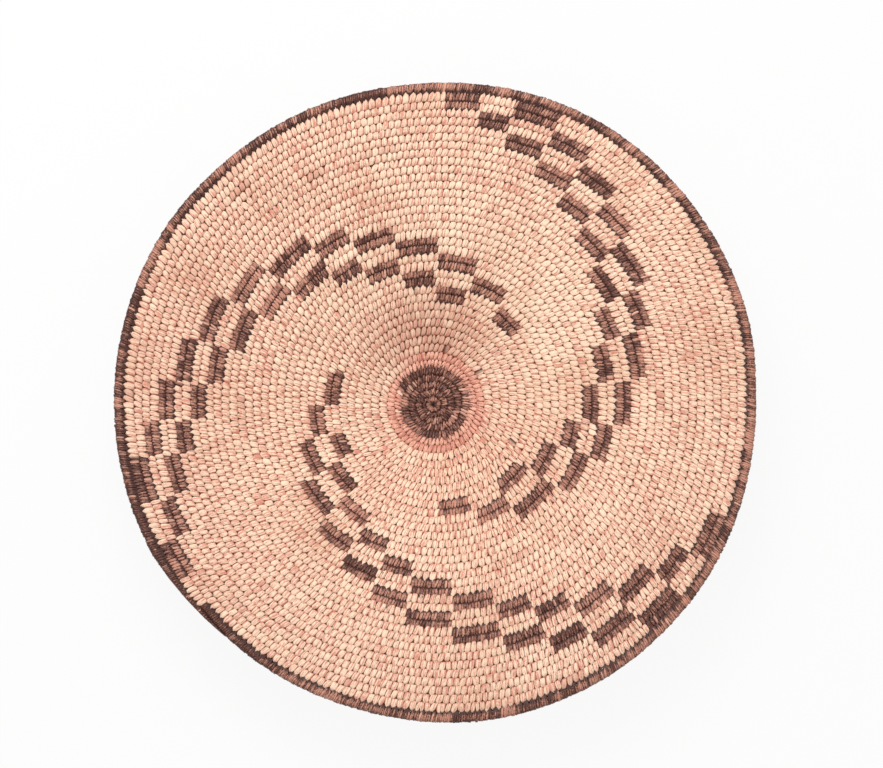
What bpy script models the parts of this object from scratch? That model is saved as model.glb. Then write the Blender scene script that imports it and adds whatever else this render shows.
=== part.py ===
"""Coiled basketry tray, hollow side up, in metres.

One coil is wound from the centre to the rim. A place along it is given in
winding turns: turn 12.25 is a quarter of a turn, or 90 degrees, past the end
of the twelfth round. Each node is a stretch of the coil in one colour, sewn
to the rounds beside it, and the seams between nodes are a narrow gap.
"""
import math

import bmesh
import bpy
from mathutils import Vector

# Width of one round of the coil, zone by zone from the centre out
CENTRE_PITCH = 0.00407
PLAIN_PITCH = 0.00468
BAND_PITCH = 0.00445
RIM_PITCH = 0.0059

# Thickness from the hollow side to the underside, at a round and at a seam
COIL_THICKNESS = 0.0052
SEAM_THICKNESS = 0.0034
RIM_THICKNESS = 0.0058

# The dish: a flat middle, a wall that rises from it and levels off at the rim
RISE = 0.046
FLAT_RADIUS = 0.026
BEND = 0.008
RUN_OUT = 0.012
BASE_CUT = 0.0005

# The knot that starts the coil, and the width that the coil starts with
KNOT_RADIUS = 0.0045
COIL_START = 0.001

# The rim's binding, the webs round its three rods, and its tapered end
WRAP = 0.0004
ROD_WEB = 0.0002
TAIL_TIP = 0.0012

# Seam gap between nodes, and half of the lap where blocks of one colour meet
GAP = 0.0003
LAP = 0.0005

# How far the widest swelling of the outline stands out of the true spiral
OUT_OF_ROUND = 0.0036

# Reach of a cutter past what it cuts, and the step that slopes are taken over
OVERRUN = 0.002
SLOPE_STEP = 0.0001

# Turns where the coil's width changes
PITCH_TURNS = (0, 5, 13, 39)
# How the wall's slope eases towards the rim, and how late the outline swells
EASE_SHARE = 1.55
SWELL_SHARE = 3

# Turn and degrees where one colour ends and the next starts
DARK_END = 4 + 158 / 360
SALMON_END = 6 + 145 / 360
RIM_START = 38 + 220.5 / 360
TAIL_START = 39 + 209 / 360
RODS_END = 39 + 200 / 360
RIM_END = 39 + 228 / 360

# The three arms: the round of an arm's first block, and the angles where its
# blocks start. A band is two rounds high, and steps on by one block.
ARMS = {
    "a": (13, (40, 56, 74, 89, 104.5, 117.5, 128.5, 142, 153.5, 165, 175,
               183.5, 190.5, 198.5, 207, 214.5)),
    "b": (12, (162, 180, 195.5, 210.5, 226, 240, 251.5, 262.5, 274.5, 286,
               295, 303.5, 312.5, 321.5, 329.5, 338.5)),
    "c": (12, (272.5, 289.5, 307, 325, 341, 353, 367, 380, 390, 401, 410,
               418.5, 427, 435.5, 442, 448.5)),
}
BANDS = 13
ROUNDS_PER_BAND = 2
# The light field that follows each arm along the coil
FIELDS = {"a": "light_field_ab", "b": "light_field_bc", "c": "light_field_ca"}

# Swelling of the outline round the rim, as shares of OUT_OF_ROUND by angle
SWELL_SHARES = ((0, 0.11), (16, 0.57), (55, 0.59), (102, -0.58), (130, -0.58),
                (150, -0.29), (175, -0.31), (212, -0.24), (236, 0.29),
                (250, 0.33), (285, 1), (300, 0.98), (318, 0.78))

# Cross-section of the rim: shares of its width and of half its thickness
RIM_SECTION_SHARES = ((0, -0.45), (0, 0.45), (0.29, 1), (0.71, 1),
                      (1, 0.45), (1, -0.45), (0.71, -1), (0.29, -1))

# Facets: base columns a turn inside and outside a round, sides of a rod, the
# turns from a column that another point keeps, and how finely turns are rounded
INNER_COLUMNS = 15
OUTER_COLUMNS = 30
COLUMN_CHANGE = 12
ROD_SIDES = 4
ROD_COUNT = 3
NEAR_COLUMN = 0.1 / 360
COLUMN_SHARE = 1e-6
SNAP_DIGITS = 6

# Colour and roughness
LIGHT = ((0.82, 0.52, 0.37), 0.6)
DARK = ((0.13, 0.055, 0.04), 0.5)
SALMON = ((0.85, 0.38, 0.26), 0.6)
BINDING = ((0.16, 0.07, 0.05), 0.5)
ROD = ((0.55, 0.42, 0.26), 0.7)


def boundary(turn):
    """Radius of the seam at a winding turn, on the true spiral."""
    pitches = (CENTRE_PITCH, PLAIN_PITCH, BAND_PITCH, RIM_PITCH)
    radius = 0
    for index, pitch in enumerate(pitches):
        start = PITCH_TURNS[index]
        end = PITCH_TURNS[index + 1] if index + 1 < len(pitches) else turn
        if turn > start:
            radius += pitch * (min(turn, end) - start)
    return radius


RIM_RADIUS = boundary(RIM_END)


def swell(turn):
    """Share of the outline's swelling at a turn's angle, smoothly blended."""
    angle = (turn * 360) % 360
    places = SWELL_SHARES + ((SWELL_SHARES[0][0] + 360, SWELL_SHARES[0][1]),)
    for (start, low), (end, high) in zip(places, places[1:]):
        if angle <= end:
            break
    blend = (1 - math.cos(math.pi * (angle - start) / (end - start))) / 2
    return low + (high - low) * blend


def seam_radius(turn):
    """Radius of the seam at a winding turn, with the knot and the swelling."""
    true = max(boundary(turn), KNOT_RADIUS)
    return true + OUT_OF_ROUND * swell(turn) * (true / RIM_RADIUS) ** SWELL_SHARE


def rise(radius):
    """Height of the dish's middle surface over its flat centre."""
    run = RIM_RADIUS + RUN_OUT - FLAT_RADIUS
    past = radius - FLAT_RADIUS
    climb = (past + math.hypot(past, BEND)) / 2
    at_centre = (-FLAT_RADIUS + math.hypot(FLAT_RADIUS, BEND)) / 2
    share = min(1, (climb - at_centre) / run)
    return RISE * (1 - (1 - share) ** EASE_SHARE)


def dish_point(angle, radius, along, normal):
    """A point beside the dish's middle surface, out along it and off it."""
    lift = rise(radius + SLOPE_STEP) - rise(radius - SLOPE_STEP)
    slope = math.atan2(lift, 2 * SLOPE_STEP)
    out = radius + along * math.cos(slope) - normal * math.sin(slope)
    height = rise(radius) + along * math.sin(slope) + normal * math.cos(slope)
    height += COIL_THICKNESS / 2 - BASE_CUT
    return Vector((out * math.cos(angle), out * math.sin(angle), height))


def columns_at(turn):
    """Base columns a turn on a line at this winding turn."""
    return INNER_COLUMNS if turn < COLUMN_CHANGE else OUTER_COLUMNS


def on_columns(turn, columns, place):
    """A point on the chord between two base columns, so all facets agree."""
    step = turn * columns
    below = math.floor(step + COLUMN_SHARE)
    share = step - below
    if share < COLUMN_SHARE:
        return place(below / columns)
    return place(below / columns).lerp(place((below + 1) / columns), share)


def turns_between(start, end):
    """Base columns strictly between two places on one line."""
    turns = []
    index = math.floor(start * OUTER_COLUMNS)
    while index / OUTER_COLUMNS < end:
        turn = index / OUTER_COLUMNS
        on_column = index % (OUTER_COLUMNS // columns_at(turn)) == 0
        if on_column and start + NEAR_COLUMN < turn < end - NEAR_COLUMN:
            turns.append(turn)
        index += 1
    return turns


def vertex_place(key, side):
    """Place of a stretch's vertex on the hollow side, 1, or underside, -1."""
    kind, turn = key
    shift = {"in": GAP / 2, "out": -GAP / 2}.get(kind, 0)
    thickness = COIL_THICKNESS if kind == "crest" else SEAM_THICKNESS
    line = turn + 1 if kind == "out" else turn

    def place(at):
        radius = seam_radius(at) + shift
        if kind == "crest":
            radius = (seam_radius(at) + seam_radius(at + 1)) / 2
        return dish_point(at * math.tau, radius, 0, side * thickness / 2)

    return on_columns(line, columns_at(line), place)


def shared_ranges(interval, intervals, step):
    """Parts of an interval's seam that the same node's next round shares."""
    ranges = []
    for start, end in intervals:
        low = round(max(interval[0], start + step), SNAP_DIGITS)
        high = round(min(interval[1], end + step), SNAP_DIGITS)
        if high - low > NEAR_COLUMN:
            ranges.append((low, high))
    return sorted(ranges)


def seam_line(interval, intervals, kind):
    """Points along one seam of a stretch: (turn, key, drawn in or not)."""
    step = 1 if kind == "in" else -1
    line_step = 0 if kind == "in" else 1
    pieces = []
    reached = interval[0]
    for low, high in shared_ranges(interval, intervals, step):
        if low > reached + NEAR_COLUMN:
            pieces.append((reached, low, True))
        pieces.append((low, high, False))
        reached = high
    if reached < interval[1] - NEAR_COLUMN:
        pieces.append((reached, interval[1], True))
    points = []
    for low, high, drawn_in in pieces:
        line_low = low + line_step
        line_high = high + line_step
        turns = turns_between(line_low, line_high)
        for turn in [low] + [turn - line_step for turn in turns] + [high]:
            turn = round(turn, SNAP_DIGITS + 2)
            line = round(turn + line_step, SNAP_DIGITS + 2)
            key = (kind, turn) if drawn_in else ("seam", line)
            if not points or points[-1][1] != key:
                points.append((turn, key, drawn_in))
    return points


def crest_line(interval):
    """Points along the crest of a stretch's round."""
    turns = turns_between(*interval)
    rounded = [round(turn, SNAP_DIGITS + 2) for turn in turns]
    return [(turn, ("crest", turn), False)
            for turn in [interval[0]] + rounded + [interval[1]]]


def inner_goes_on(inner, outer, i, j, seam_is_inner):
    """Whether the strip's next triangle moves on along its inner line."""
    if i == len(inner) - 1:
        return False
    if j == len(outer) - 1:
        return True
    seam, at, other, other_at = (inner, i, outer, j) if seam_is_inner else (
        outer, j, inner, i)
    if seam[at + 1][0] == seam[at][0]:
        seam_first = seam[at + 1][2] or other[other_at][0] > seam[at][0]
    else:
        seam_first = seam[at + 1][0] <= other[other_at + 1][0]
    return seam_first == seam_is_inner


def strip(inner, outer, seam_is_inner):
    """Triangles between two lines whose points lie at unlike turns."""
    i = j = 0
    triangles = []
    while i < len(inner) - 1 or j < len(outer) - 1:
        if inner_goes_on(inner, outer, i, j, seam_is_inner):
            triangles.append((inner[i][1], outer[j][1], inner[i + 1][1]))
            i += 1
        else:
            triangles.append((inner[i][1], outer[j][1], outer[j + 1][1]))
            j += 1
    return triangles


def add_object(name, mesh, look, parent):
    """Put a mesh into the scene with its own material."""
    colour, roughness = look
    material = bpy.data.materials.new(name)
    material.use_nodes = True
    shader = material.node_tree.nodes["Principled BSDF"]
    shader.inputs["Base Color"].default_value = (*colour, 1)
    shader.inputs["Roughness"].default_value = roughness
    mesh.materials.append(material)
    item = bpy.data.objects.new(name, mesh)
    item.parent = parent
    bpy.context.scene.collection.objects.link(item)
    return item


def closed_shell(name, triangles, look, parent):
    """A body from one layer of triangles: both faces and the walls between."""
    shape = bmesh.new()
    sides = {1: {}, -1: {}}
    for key in sorted({key for triangle in triangles for key in triangle}):
        for side, vertices in sides.items():
            vertices[key] = shape.verts.new(vertex_place(key, side))
    edges = set()
    for a, b, c in triangles:
        shape.faces.new([sides[1][key] for key in (a, b, c)])
        shape.faces.new([sides[-1][key] for key in (c, b, a)])
        edges.update(((a, b), (b, c), (c, a)))
    for a, b in sorted(edges):
        if (b, a) not in edges:
            shape.faces.new((sides[1][b], sides[1][a], sides[-1][a], sides[-1][b]))
    mesh = bpy.data.meshes.new(name)
    shape.to_mesh(mesh)
    shape.free()
    return add_object(name, mesh, look, parent)


def stretch(name, intervals, look, parent):
    """A node: stretches of the coil in one colour, sewn round to round."""
    triangles = []
    for interval in intervals:
        crest = crest_line(interval)
        triangles += strip(seam_line(interval, intervals, "in"), crest, True)
        triangles += strip(crest, seam_line(interval, intervals, "out"), False)
    return closed_shell(name, triangles, look, parent)


def gap_turns(turn, length=GAP / 2):
    """A length along the coil as a share of the turn at that place."""
    return length / (math.tau * (boundary(turn) + boundary(turn + 1)) / 2)


def interval_between(start, end, start_gap=None, end_gap=None):
    """An interval with half a seam gap taken off at each end."""
    low = start + (gap_turns(start) if start_gap is None else start_gap)
    high = end - (gap_turns(end) if end_gap is None else end_gap)
    return (round(low, SNAP_DIGITS), round(high, SNAP_DIGITS))


def arm_blocks(arm):
    """Blocks of an arm: (chain, band, first round, start, end, gap) in turns."""
    first_round, angles = ARMS[arm]
    blocks = []
    for band in range(BANDS):
        base = first_round + ROUNDS_PER_BAND * band
        middle = base + 1 + angles[band + 1] / 360
        lap = gap_turns(middle, LAP)
        gap = gap_turns(middle)
        turns = [angle / 360 for angle in angles]
        left_start = turns[band] - (3 if band > 1 else 1) * lap
        left_end = turns[band + 1] + (1 if band == 0 else -1) * lap
        right_start = turns[band + 2] + (1 if band < BANDS - 1 else -1) * lap
        right_end = turns[band + 3] + (3 if band < BANDS - 2 else 1) * lap
        blocks.append(("dark_left", base, left_start, left_end, gap))
        blocks.append(("light_steps", base, left_end, right_start, gap))
        blocks.append(("dark_right", base, right_start, right_end, gap))
    return blocks


def pattern_nodes():
    """Intervals of every node in the bands, by node name."""
    taken = []
    for arm in ARMS:
        for chain, base, start, end, gap in arm_blocks(arm):
            for extra in range(ROUNDS_PER_BAND):
                name = "arm_%s_%s" % (arm, chain)
                taken.append((base + extra + start, base + extra + end, gap, name))
    taken.sort()
    nodes = {}
    reached, reached_gap, last = taken[0][0], None, None
    for start, end, gap, name in taken + [(RIM_START, None, None, "rim")]:
        if start - reached > gap_turns(start):
            field = FIELDS[last.split("_")[1]]
            run = interval_between(reached, start, reached_gap, gap)
            nodes.setdefault(field, []).append(run)
        if end is not None:
            nodes.setdefault(name, []).append(interval_between(start, end, gap, gap))
            reached, reached_gap, last = end, gap, name
    return nodes, taken[0][0]


def make_knot(parent):
    """The knot that starts the coil: a low round button."""
    shape = bmesh.new()
    rings = []
    radius = KNOT_RADIUS - GAP / 2
    for side in (1, -1):
        ring = []
        for index in range(INNER_COLUMNS):
            place = dish_point(math.tau * index / INNER_COLUMNS, radius, 0,
                               side * SEAM_THICKNESS / 2)
            ring.append(shape.verts.new(place))
        rings.append(ring)
        centre = shape.verts.new(dish_point(0, 0, 0, side * COIL_THICKNESS / 2))
        for first, second in zip(ring, ring[1:] + ring[:1]):
            order = (centre, first, second) if side == 1 else (centre, second, first)
            shape.faces.new(order)
    top, under = rings
    for index in range(INNER_COLUMNS):
        after = (index + 1) % INNER_COLUMNS
        shape.faces.new((top[after], top[index], under[index], under[after]))
    mesh = bpy.data.meshes.new("start_knot")
    shape.to_mesh(mesh)
    shape.free()
    return add_object("start_knot", mesh, DARK, parent)


def swept(name, turns, section, look, parent):
    """A closed tube whose section is given as a function of the turn."""
    shape = bmesh.new()
    rings = []
    for turn in turns:
        count = len(section(turn))
        ring = []
        for index in range(count):
            def place(at, index=index):
                return section(at)[index]
            ring.append(shape.verts.new(on_columns(turn, OUTER_COLUMNS, place)))
        rings.append(ring)
    for first, second in zip(rings, rings[1:]):
        for index in range(len(first)):
            after = (index + 1) % len(first)
            shape.faces.new((first[index], second[index], second[after], first[after]))
    shape.faces.new(rings[0])
    shape.faces.new(rings[-1][::-1])
    bmesh.ops.recalc_face_normals(shape, faces=shape.faces)
    mesh = bpy.data.meshes.new(name)
    shape.to_mesh(mesh)
    shape.free()
    return add_object(name, mesh, look, parent)


def taper(turn):
    """Share of the rim's full width that is left at a turn."""
    tip = TAIL_TIP / RIM_PITCH
    past = max(0, turn - TAIL_START) / (RIM_END - TAIL_START)
    return 1 - (1 - tip) * min(1, past)


def rim_section(turn):
    """The rim's cross-section: a flattened round, its inner side at the seam."""
    inside = seam_radius(turn) + GAP / 2
    width = (seam_radius(turn + 1) - seam_radius(turn)) * taper(turn) - GAP
    half = RIM_THICKNESS / 2 * (1 + taper(turn)) / 2
    return [dish_point(turn * math.tau, inside + across * width, 0, up * half)
            for across, up in RIM_SECTION_SHARES]


def rod_section(turn, number, clearance):
    """Cross-section of one of the three rods, or of its bore."""
    width = seam_radius(turn + 1) - seam_radius(turn)
    core = (min(RIM_PITCH, RIM_THICKNESS) - GAP) / 2 - WRAP
    reach = 1 / math.sin(math.pi / ROD_COUNT)
    bore = (core - ROD_WEB * reach / 2) / (1 + reach)
    offset = core - bore
    lean = math.tau * number / ROD_COUNT + math.pi / 2
    middle = seam_radius(turn) + width / 2
    points = []
    for index in range(ROD_SIDES):
        turned = lean + math.tau * index / ROD_SIDES
        along = offset * math.cos(lean) + (bore - clearance) * math.cos(turned)
        normal = offset * math.sin(lean) + (bore - clearance) * math.sin(turned)
        points.append(dish_point(turn * math.tau, middle, along, normal))
    return points


def make_rim(parent):
    """The bound rim, the last round, with the three rods that it is sewn over."""
    start = round(RIM_START + gap_turns(RIM_START), SNAP_DIGITS)
    turns = [start] + turns_between(start, RIM_END) + [RIM_END]
    rim = swept("rim_binding", turns, rim_section, BINDING, parent)
    for number in range(ROD_COUNT):
        def bore(turn, number=number):
            return rod_section(turn, number, 0)

        def rod(turn, number=number):
            return rod_section(turn, number, GAP)

        inside = turns_between(start, RODS_END)
        before = start - gap_turns(start, OVERRUN)
        past = RODS_END + gap_turns(RODS_END, GAP)
        cutter = swept("bore_cutter_%d" % (number + 1), [before] + inside + [past],
                       bore, DARK, parent)
        cutter.hide_render = True
        cutter.display_type = "WIRE"
        cut = rim.modifiers.new("bore_%d" % (number + 1), "BOOLEAN")
        cut.object = cutter
        cut.solver = "EXACT"
        swept("rim_rod_%d" % (number + 1), [start] + inside + [RODS_END],
              rod, ROD, parent)


def cut_flat(items, parent):
    """Cut the lowest rounds level, so that the tray rests on a flat."""
    shape = bmesh.new()
    bmesh.ops.create_cube(shape, size=1)
    reach = FLAT_RADIUS * 2
    bmesh.ops.scale(shape, vec=(reach * 2, reach * 2, reach), verts=shape.verts)
    bmesh.ops.translate(shape, vec=(0, 0, -reach / 2), verts=shape.verts)
    mesh = bpy.data.meshes.new("base_cutter")
    shape.to_mesh(mesh)
    shape.free()
    cutter = add_object("base_cutter", mesh, DARK, parent)
    cutter.hide_render = True
    cutter.display_type = "WIRE"
    for item in items:
        cut = item.modifiers.new("flat", "BOOLEAN")
        cut.object = cutter
        cut.solver = "EXACT"


def centre_on_origin(parent):
    """Move the tray so that the middle of its outline is at the origin."""
    points = [vertex.co for item in bpy.data.objects
              if item.type == "MESH" and not item.hide_render
              for vertex in item.data.vertices]
    middle = [(min(point[axis] for point in points)
               + max(point[axis] for point in points)) / 2 for axis in range(2)]
    parent.location = (-middle[0], -middle[1], 0)


def main():
    for item in list(bpy.data.objects):
        bpy.data.objects.remove(item)
    tray = bpy.data.objects.new("tray", None)
    bpy.context.scene.collection.objects.link(tray)

    coil_start = 1
    while boundary(coil_start) < KNOT_RADIUS + COIL_START:
        coil_start += 1 / OUTER_COLUMNS
    nodes, pattern_start = pattern_nodes()
    lowest = [
        make_knot(tray),
        stretch("dark_centre", [interval_between(coil_start - 1, DARK_END)],
                DARK, tray),
        stretch("salmon_rounds", [interval_between(DARK_END, SALMON_END)],
                SALMON, tray),
    ]
    stretch("plain_rounds", [interval_between(SALMON_END, pattern_start)],
            LIGHT, tray)
    for name in sorted(nodes):
        stretch(name, nodes[name], DARK if "dark" in name else LIGHT, tray)
    make_rim(tray)
    cut_flat(lowest, tray)
    centre_on_origin(tray)


main()
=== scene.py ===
"""Coiled basketry tray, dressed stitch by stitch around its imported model.

The coil is wound from the centre to the rim. A place along it is given in
winding turns, and every stitch is a closed splint that goes over the coil,
down into the gap between two stitches of the round before, and back under.
"""
import math
import random
from bisect import bisect_left

import bmesh
import bpy
import numpy as np
from bpy.props import FloatProperty, FloatVectorProperty, IntProperty, PointerProperty
from mathutils import Matrix, Vector
from mathutils.bvhtree import BVHTree


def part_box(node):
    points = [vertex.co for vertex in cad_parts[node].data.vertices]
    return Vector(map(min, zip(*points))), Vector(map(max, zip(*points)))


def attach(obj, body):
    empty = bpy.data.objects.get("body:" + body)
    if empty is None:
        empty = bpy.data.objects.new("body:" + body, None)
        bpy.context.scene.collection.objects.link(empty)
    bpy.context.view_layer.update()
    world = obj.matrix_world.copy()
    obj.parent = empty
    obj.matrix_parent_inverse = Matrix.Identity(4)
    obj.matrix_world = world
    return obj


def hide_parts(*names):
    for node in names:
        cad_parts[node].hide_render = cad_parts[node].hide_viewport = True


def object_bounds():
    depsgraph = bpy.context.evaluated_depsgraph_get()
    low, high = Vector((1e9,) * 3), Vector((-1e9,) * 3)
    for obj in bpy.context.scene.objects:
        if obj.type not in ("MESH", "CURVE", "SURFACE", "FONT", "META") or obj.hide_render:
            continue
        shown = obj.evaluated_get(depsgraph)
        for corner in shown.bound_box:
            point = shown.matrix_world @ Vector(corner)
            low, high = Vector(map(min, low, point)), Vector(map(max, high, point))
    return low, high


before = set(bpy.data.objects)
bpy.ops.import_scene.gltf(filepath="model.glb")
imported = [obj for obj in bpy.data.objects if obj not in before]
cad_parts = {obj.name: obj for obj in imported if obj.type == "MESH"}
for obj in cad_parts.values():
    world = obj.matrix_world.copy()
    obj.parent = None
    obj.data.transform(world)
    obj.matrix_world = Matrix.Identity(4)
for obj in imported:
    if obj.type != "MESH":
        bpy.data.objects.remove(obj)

CAD_BOX = [list(corner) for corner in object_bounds()]

bl_info = {
    "name": "Coiled basketry tray",
    "version": (1, 0, 0),
    "blender": (4, 5, 0),
    "location": "View3D > Sidebar > Tray",
    "description": "Sews the splints of a coiled tray over its coil",
    "category": "Add Mesh",
}

# Turns where the coil's width changes, and where the rim, its tail and its rods
# start and end
PITCH_TURNS = (0, 5, 13, 39, 41)
COIL_START = 0.42
RIM_START = 38 + 220.5 / 360
TAIL_START = 39 + 209 / 360
RODS_END = 39 + 200 / 360
RIM_END = 39 + 228 / 360

# How the wall's slope eases off towards the rim, how fast the swelling fades
# inwards, and how much the outline swells by degrees
EASE_SHARE = 1.55
SWELL_SHARE = 3
SWELL_SHARES = ((0, 0.11), (16, 0.57), (55, 0.59), (102, -0.58), (130, -0.58),
                (150, -0.29), (175, -0.31), (212, -0.24), (236, 0.29),
                (250, 0.33), (285, 1), (300, 0.98), (318, 0.78), (360, 0.11))

# A stitch, station by station round the coil: place across the round and off
# its middle surface, width, how much painted crevice shade darkens it there, and
# how much it follows its root, the gap of the round before that it comes out of
COIL_STITCH_SHARES = (
    (-0.62, 0.62, 0.2, 1.0, 1.0), (-0.56, 0.71, 0.66, 1.0, 0.9),
    (-0.44, 0.87, 0.97, 0.45, 0.5), (-0.12, 1, 1, 0, 0.1), (0.28, 0.92, 1, 0, 0),
    (0.47, 0.72, 0.66, 0, 0), (0.65, 0.58, 0.07, 0.4, 0),
    (0.66, -0.58, 0.08, 1.0, 0), (0.36, -0.86, 0.95, 0, 0), (0, -1, 1, 0, 0),
    (-0.36, -0.86, 0.95, 0, 0.4), (-0.62, -0.58, 0.2, 1.0, 1.0))
# The rim's stitches get painted shade at the inner end and along the outer edge
RIM_STITCH_SHARES = (
    (-0.66, 0.50, 1.8, 1.0, 0.6), (-0.50, 0.66, 1.3, 1.0, 0.5),
    (-0.26, 0.91, 1, 0.6, 0.2), (0.02, 1, 1, 0, 0), (0.27, 0.92, 1, 0, 0),
    (0.45, 0.55, 1, 0.35, 0), (0.51, 0, 1, 0.6, 0), (0.45, -0.55, 1, 0, 0),
    (0.2, -0.95, 1, 0, 0), (-0.15, -1, 1, 0, 0), (-0.42, -0.70, 1, 0.3, 0.3),
    (-0.66, -0.50, 1.8, 1.0, 0.6))
# Where across the round a stitch starts to stretch to its outer tip
TIP_START = 0.33
# How much stronger the painted crevice shade is: in the arms, in the dark centre, at
# the rim and what a faded stitch loses of it, in the first salmon round between two angles
ARM_SHADE = 2.2
CENTRE_SHADE = 1.6
RIM_SHADE = 1.9
RIM_FADE = 0.6
SALMON_SHADE = 8
SALMON_SHADE_PLACES = (145, 262)
# The step to the next stitch: how far it strays, and how far at the rim, how far
# and how strongly it is drawn to the gap below, and its least and most
LOOSE = 0.16
RIM_LOOSE = 0.4
PULL_REACH = 0.4
PULL = 0.7
STEP_RANGE = (0.6, 1.4)
# How unevenly the stitches sit and lean, how the centre, its last round and the
# rim differ, and how unevenly they are raised and filled out
SLIP = 0.025
SWAY = 0.09
CENTRE_SLIP = 0.06
CENTRE_SWAY = 0.22
CENTRE_EDGE_SHARE = 0.4
RIM_SWAY = 0.03
LIFT = 0.02
FULLEST = 1.08
# How far a stitch's outer tip reaches into the next round, least and most: to its
# own colour, from dark to light, from light to dark, and in the dark centre and
# at its edge
OWN_REACHES = (0, 0.12)
DARK_REACHES = (0, 0.38)
LIGHT_REACHES = (0, 0.22)
CENTRE_REACHES = (0, 0.2)
EDGE_REACHES = (0.36, 0.46)
# How far a stitch's inner end laps over the round before, in rounds: the rim's
# tapered end, and the least and most of light over dark and of dark over light
TAIL_LAP = 0.3
LIGHT_LAPS = (0.06, 0.26)
DARK_LAPS = (0, 0.24)
# How much a reaching tip or lapping end is raised, an end narrowed, a tip's painted shade
# cleared
RAISE = 1.4
NARROWING = 1.5
SHADE_CLEARING = 2
# Sides of the bundle and its stations in a turn
CORE_SIDES = 10
CORE_STATIONS = 60
# The knot: thickness of the bundle in it, middle and length of its stitches as
# shares of its radius, and their tones
KNOT_SHARE = 0.7
KNOT_MIDDLE_SHARE = 0.61
KNOT_ROUND_SHARE = 0.87
KNOT_TONES = (0.2, 0.9)
# Lean of the stitches, clockwise outwards
LEAN = math.radians(12)
# Width of a stitch by radius, from the knot to the wall
WIDTH_SHARES = ((0.0045, 0.5), (0.012, 0.6), (0.02, 0.76), (0.029, 0.9),
                (0.034, 0.8), (0.048, 0.82), (0.062, 0.94), (0.078, 1.04),
                (0.115, 1.04), (0.135, 1))
# Soiled and faded places: radius and its reach, degrees and their reach, strength,
# and how much the strength varies from stitch to stitch
STAIN_SHARES = ((0.042, 0.022, 95, 42, 0.5), (0.165, 0.045, 165, 75, 0.2),
                (0.085, 0.03, 45, 75, -0.3))
STAIN_RANGE = (0.4, 1.6)
# Runs of soiled stitches: how likely one starts, its fewest stitches and one more
# than its most, its strength
SOILED_CHANCE = 0.006
SOILED_RUNS = (1, 5)
SOILED_RANGE = (0.15, 0.5)
# How strongly the last salmon stitches pale, and over how much of a turn
SALMON_PALING = 0.7
SALMON_PALING_TURNS = 0.1
# Odd splints: how likely by zone, how odd, and where single ones lie, by radius
# and degrees
ODD_CHANCES = {"rim_binding": 0.04, "dark_centre": 0.07}
ODD_LIGHT_CHANCE = 0.001
ODD_ARM_CHANCE = 0.06
ODD_RANGE = (0.4, 1)
ODD_PLACES = ((0.0175, 26), (0.0173, 14), (0.0058, 234), (0.0202, 161),
              (0.0217, 191), (0.0325, 37), (0.0325, 80), (0.051, 334),
              (0.1757, 191.4), (0.1672, 195.9))
# Tone of the rim by degrees, from dark to faded
RIM_TONE_SHARES = ((0, 0.85), (30, 0.65), (60, 0.4), (75, 0.6), (99.5, 0.7),
                   (101, -0.15), (109, -0.15), (111, 0.15), (126, 0.2), (128, 0.9),
                   (135, 0.9), (136.5, 0.4), (144, 0.4), (146, 0.75), (158.5, 0.75),
                   (160.5, -0.05), (170, -0.05), (172, 0.45), (180, 0.3),
                   (186, 0.05), (205, -0.15), (228, -0.15), (240, 0.6), (265, 0.65),
                   (285, 0.45), (330, 0.7), (360, 0.85))
# How much lighter the dark stitches are by radius
DARK_TONE_SHARES = ((0.018, -0.22), (0.022, -0.05), (0.05, 0.05), (0.12, 0),
                    (0.16, -0.1))
# Tone by kind: a splint's own, how unlike splints and stitches are, and how much
# of its own a splint keeps beside its chain's in the round before
TONE_SHARES = {"light": (0.73, 0.06, 0.1), "salmon": (0.5, 0.1, 0.12),
               "dark": (0.44, 0.16, 0.17), "rim": (0.01, 0.22, 0.2)}
OWN_TONE_SHARE = 0.3
# Fewest and most stitches that a splint lasts for
RUNS = {"light": (8, 24), "salmon": (6, 16), "dark": (3, 12), "rim": (2, 9)}
# Places looked up along one turn of the coil
LOOKUPS = 1440
# The turn that the blocks come after, and how many degrees they lie past their
# solids, by the angle that they lie at
FIRST_BLOCKS = 12
BLOCK_TURNS = ((0, -0.6), (60, -0.1), (100, 0.2), (125, 1.1), (160, 1.2),
               (205, 1.5), (235, 0.4), (260, -0.6), (300, -0.3), (325, -0.2),
               (360, -0.6))
# How much a light field sews over at a dark block's end beside it, in the chains
# on the left and on the right
LEFT_TRIM = 0.0017
RIGHT_TRIM = 0.0015
# Across a splint: place in half widths, and depth in thicknesses
SPLINT_SHARES = ((-1, 0.75), (-0.7, 0), (0.7, 0), (1, 0.75))
# The fibre's pattern: units in a metre across a splint, units from station to
# station along it, and how far apart two splints can lie on it
FIBRE_ACROSS = 1000
FIBRE_ALONG = 1.2
FIBRE_SPREAD = 900
# Stretch of the fibre, and repeats of soil, grime and grain in a metre
FIBRE_STRETCH = (1.5, 0.22, 1)
SOIL_SCALE = 22
GRIME_SCALE = 240
GRAIN_SCALE = 1100
# How much painted shade darkens a splint towards its crevices, and how much the grain
# changes it
SHADE_DARKENING = 0.6
GRAIN_CHANGE = 1.8
# Patches of soil: where they start, how sharp they are, their colour
PATCH_START = 0.45
PATCH_SHARPNESS = 4
PATCH_COLOUR = (0.80, 0.66, 0.60, 1)
# Painted shade and soil in crevices: how much the grime changes it, where it starts, how
# sharp it is
GRIME_CHANGE = 0.5
CREVICE_START = 0.75
CREVICE_SHARPNESS = 2.2
# Roughness of a splint, and how much the fibre changes it
SPLINT_ROUGHNESS = 0.5
ROUGHNESS_CHANGE = 0.4
# The grain of the rods: repeats in a metre, and how dark it is
ROD_SCALE = 900
ROD_DARKENING = 0.5
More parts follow.
